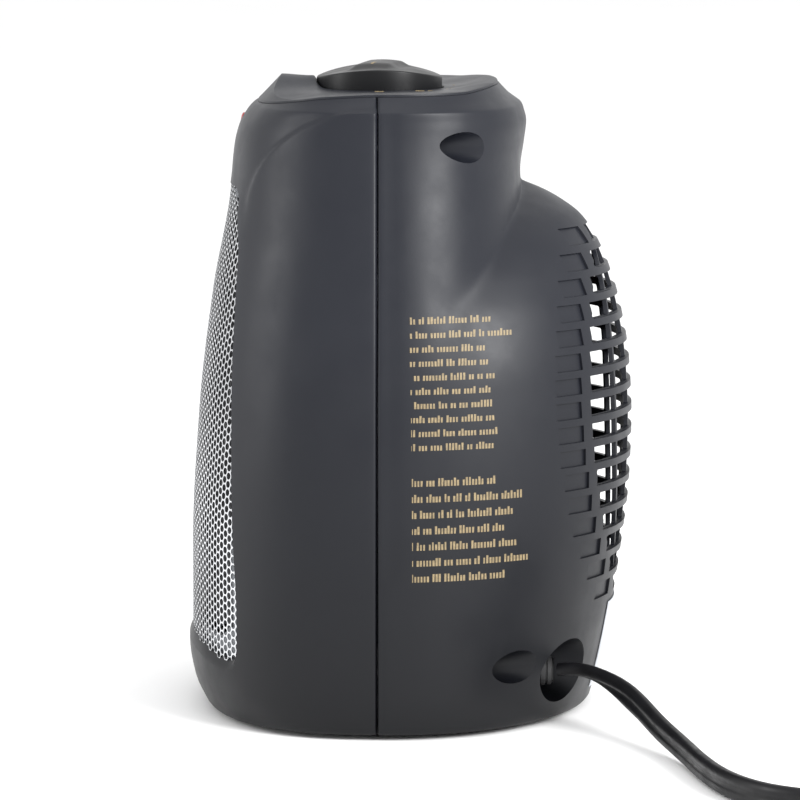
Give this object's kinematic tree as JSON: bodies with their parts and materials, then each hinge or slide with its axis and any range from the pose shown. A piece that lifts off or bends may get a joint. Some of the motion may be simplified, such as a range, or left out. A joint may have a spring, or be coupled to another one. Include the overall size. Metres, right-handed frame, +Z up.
{
  "type": "ceramic space heater",
  "caption": "Compact upright fan heater with a clamshell casing, perforated metal front, rotary selector on top, moulded rear inlet grille and a flat cord.",
  "frame": {"origin": "centre of the heater's footprint on the floor, cord left out", "axes": "+Z up, -Y towards the perforated front, +X to the side where the cord leaves"},
  "size_m": [0.3086, 0.4017, 0.2382],
  "materials": {
    "casing": "fine satin moulded texture",
    "knob_black": "satin moulded",
    "steel_mesh": "bright perforated sheet",
    "zinc_steel": "zinc plated",
    "aluminium": "folded fin strip",
    "ceramic": "ceramic, unglazed",
    "resin_grey": "heat-resistant resin",
    "fan_black": "moulded",
    "brass": "plain",
    "red_lens": "translucent red",
    "label_silver": "blank pale foil",
    "cord_pvc": "semi-gloss flexible sheath",
    "rubber": "matt",
    "wire_red": "insulated wire"
  },
  "bodies": {
    "chassis": {"front_shell": "casing", "rear_shell": "casing", "control_panel": "casing", "base_plate": "casing", "front_grille": "steel_mesh", "base_screw_1": "zinc_steel", "base_screw_2": "zinc_steel", "base_screw_3": "zinc_steel", "base_screw_4": "zinc_steel", "case_screw_1": "zinc_steel", "case_screw_2": "zinc_steel", "case_screw_3": "zinc_steel", "case_screw_4": "zinc_steel", "motor_bracket": "zinc_steel", "motor_housing": "zinc_steel", "motor_screw_1": "zinc_steel", "motor_screw_2": "zinc_steel", "switch_nut": "zinc_steel", "switch_screw_1": "zinc_steel", "switch_screw_2": "zinc_steel", "thermal_cutoff": "zinc_steel", "fin_block_1": "aluminium", "fin_block_2": "aluminium", "fin_block_3": "aluminium", "ceramic_bar_1": "ceramic", "ceramic_bar_2": "ceramic", "indicator_lamp": "ceramic", "grille_retainer": "resin_grey", "element_frame": "resin_grey", "air_duct": "resin_grey", "selector_switch": "resin_grey", "thermostat": "resin_grey", "tipover_switch": "resin_grey", "bearing_front": "brass", "bearing_rear": "brass", "plug_blade_left": "brass", "plug_blade_right": "brass", "indicator_lens": "red_lens", "rating_label": "label_silver", "power_cord": "cord_pvc", "cord_coil": "cord_pvc", "plug_body": "cord_pvc", "foot_1": "rubber", "foot_2": "rubber", "foot_3": "rubber", "foot_4": "rubber", "strain_relief": "rubber", "lead_supply": "wire_red", "lead_motor": "wire_red", "lead_heater": "wire_red"},
    "knob": {"selector_knob": "knob_black", "switch_shaft": "brass"},
    "rotor": {"motor_shaft": "zinc_steel", "fan_impeller": "fan_black"},
    "plunger": {"tipover_plunger": "resin_grey"}
  },
  "joints": [
    {"name": "selector_turn", "type": "hinge", "parent": "chassis", "child": "knob", "pos_m": [0, -0.0115, 0.2235], "axis": [0, 0, 1], "range_deg": [0, 210]},
    {"name": "fan_spin", "type": "hinge", "parent": "chassis", "child": "rotor", "pos_m": [0, 0.048, 0.108], "axis": [0, 1, 0], "continuous": true},
    {"name": "tipover_travel", "type": "slide", "parent": "chassis", "child": "plunger", "axis": [0, 0, -1], "range_m": [0, 0.004], "stiffness_N_per_m": 60, "springref_m": 0.005}
  ]
}
